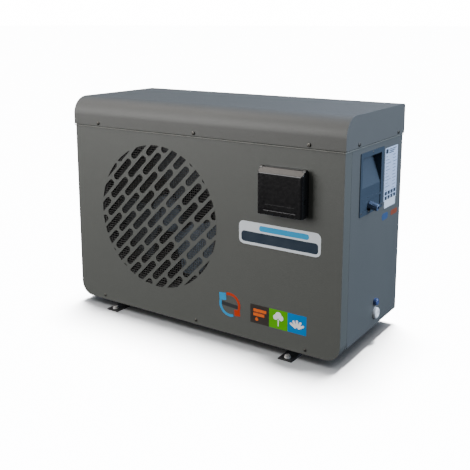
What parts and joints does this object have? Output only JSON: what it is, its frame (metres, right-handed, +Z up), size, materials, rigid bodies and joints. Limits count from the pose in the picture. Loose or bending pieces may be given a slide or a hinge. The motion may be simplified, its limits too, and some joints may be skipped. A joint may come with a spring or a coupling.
{
  "type": "pool heat pump",
  "caption": "Air-source pool heater in a low sheet-metal case with a round slotted fan grille, a hinged control cover, carry recesses, two water unions and bolt-down feet.",
  "frame": {"origin": "bottom centre of the bounding box, on the floor that the feet stand on", "axes": "+X along the front from the fan side to the control side, +Y from the front grille to the rear, +Z up"},
  "size_m": [0.8876, 0.431, 0.617],
  "materials": {
    "case_paint": "satin fine-textured powder coat, warm dark grey",
    "lid_paint": "satin fine-textured powder coat, warm grey",
    "recess_plastic": "matte moulded plastic, dark blue grey",
    "black_gloss_plastic": "glossy black plastic",
    "black_plastic": "matte black plastic",
    "black_wire": "black coated steel mesh and wire",
    "fan_plastic": "moulded dark plastic",
    "key_rubber": "matte grey silicone rubber",
    "display_glass": "smooth display window",
    "pvc_grey": "smooth grey PVC",
    "galvanised_steel": "galvanised sheet",
    "fin_aluminium": "bright thin fins",
    "motor_paint": "satin grey paint",
    "compressor_paint": "satin black paint",
    "copper": "drawn copper tube, slightly dulled",
    "brass": "turned brass",
    "titanium": "drawn titanium tube",
    "steel": "plain steel",
    "zinc_plated_steel": "bright zinc plating",
    "screw_steel": "dulled zinc plating",
    "foot_paint": "satin black paint",
    "rubber": "black rubber",
    "circuit_board": "green solder mask",
    "cap_blue": "glossy blue plastic",
    "cap_white": "white plastic"
  },
  "bodies": {
    "case": {"base_pan": "galvanised_steel", "cable_gland": "black_plastic", "carry_handle_left": "recess_plastic", "carry_handle_right": "recess_plastic", "coil_guard": "black_wire", "compressor": "compressor_paint", "compressor_grommet_1": "rubber", "compressor_grommet_2": "rubber", "compressor_grommet_3": "rubber", "control_board": "circuit_board", "control_display": "display_glass", "control_housing": "black_gloss_plastic", "cover_hinge_pin": "steel", "discharge_pipe": "copper", "drain_cap": "cap_white", "electrical_box": "galvanised_steel", "evaporator_coil": "fin_aluminium", "evaporator_gas_pipe": "copper", "exchanger_gas_pipe": "copper", "exchanger_shell": "pvc_grey", "fan_guard": "black_wire", "fan_motor": "motor_paint", "fan_shroud": "black_plastic", "flow_switch": "black_plastic", "foot_bolt_left": "zinc_plated_steel", "foot_bolt_right": "zinc_plated_steel", "foot_rail_left": "foot_paint", "foot_rail_right": "foot_paint", "four_way_valve": "brass", "front_panel": "case_paint", "gland_nut": "black_plastic", "inlet_union_nut": "black_plastic", "left_side_panel": "case_paint", "lid": "lid_paint", "lid_screw_front_1": "screw_steel", "lid_screw_front_2": "screw_steel", "lid_screw_front_3": "screw_steel", "lid_screw_right_1": "screw_steel", "lid_screw_right_2": "screw_steel", "liquid_pipe": "copper", "motor_bracket": "galvanised_steel", "outlet_union_nut": "black_plastic", "partition": "galvanised_steel", "rear_panel": "case_paint", "right_side_panel": "case_paint", "service_port_cap": "cap_blue", "suction_accumulator": "compressor_paint", "suction_pipe": "copper", "terminal_block": "pvc_grey", "titanium_coil": "titanium", "water_inlet_pipe": "pvc_grey", "water_outlet_pipe": "pvc_grey"},
    "fan": {"fan_rotor": "fan_plastic", "fan_shaft": "steel"},
    "cover": {"control_cover": "black_gloss_plastic"},
    "power_key": {"power_key": "key_rubber"},
    "mode_key": {"mode_key": "key_rubber"},
    "down_key": {"down_key": "key_rubber"},
    "up_key": {"up_key": "key_rubber"},
    "flow_paddle": {"flow_paddle": "black_plastic"}
  },
  "joints": [
    {"name": "fan_spin", "type": "hinge", "parent": "case", "child": "fan", "pos_m": [-0.1428, -0.1435, 0.301], "axis": [0, 1, 0], "continuous": true},
    {"name": "cover_hinge", "type": "hinge", "parent": "case", "child": "cover", "pos_m": [0.2627, -0.197, 0.4825], "axis": [-1, 0, 0], "range_deg": [0, 110]},
    {"name": "power_key_press", "type": "slide", "parent": "case", "child": "power_key", "axis": [0, 1, 0], "range_m": [0, 0.0012], "stiffness_N_per_m": 250},
    {"name": "mode_key_press", "type": "slide", "parent": "case", "child": "mode_key", "axis": [0, 1, 0], "range_m": [0, 0.0012], "stiffness_N_per_m": 250},
    {"name": "down_key_press", "type": "slide", "parent": "case", "child": "down_key", "axis": [0, 1, 0], "range_m": [0, 0.0012], "stiffness_N_per_m": 250},
    {"name": "up_key_press", "type": "slide", "parent": "case", "child": "up_key", "axis": [0, 1, 0], "range_m": [0, 0.0012], "stiffness_N_per_m": 250},
    {"name": "paddle_swing", "type": "hinge", "parent": "case", "child": "flow_paddle", "pos_m": [0.1882, 0.1435, 0.4005], "axis": [1, 0, 0], "range_deg": [0, 55], "stiffness_Nm_per_rad": 0.002}
  ]
}
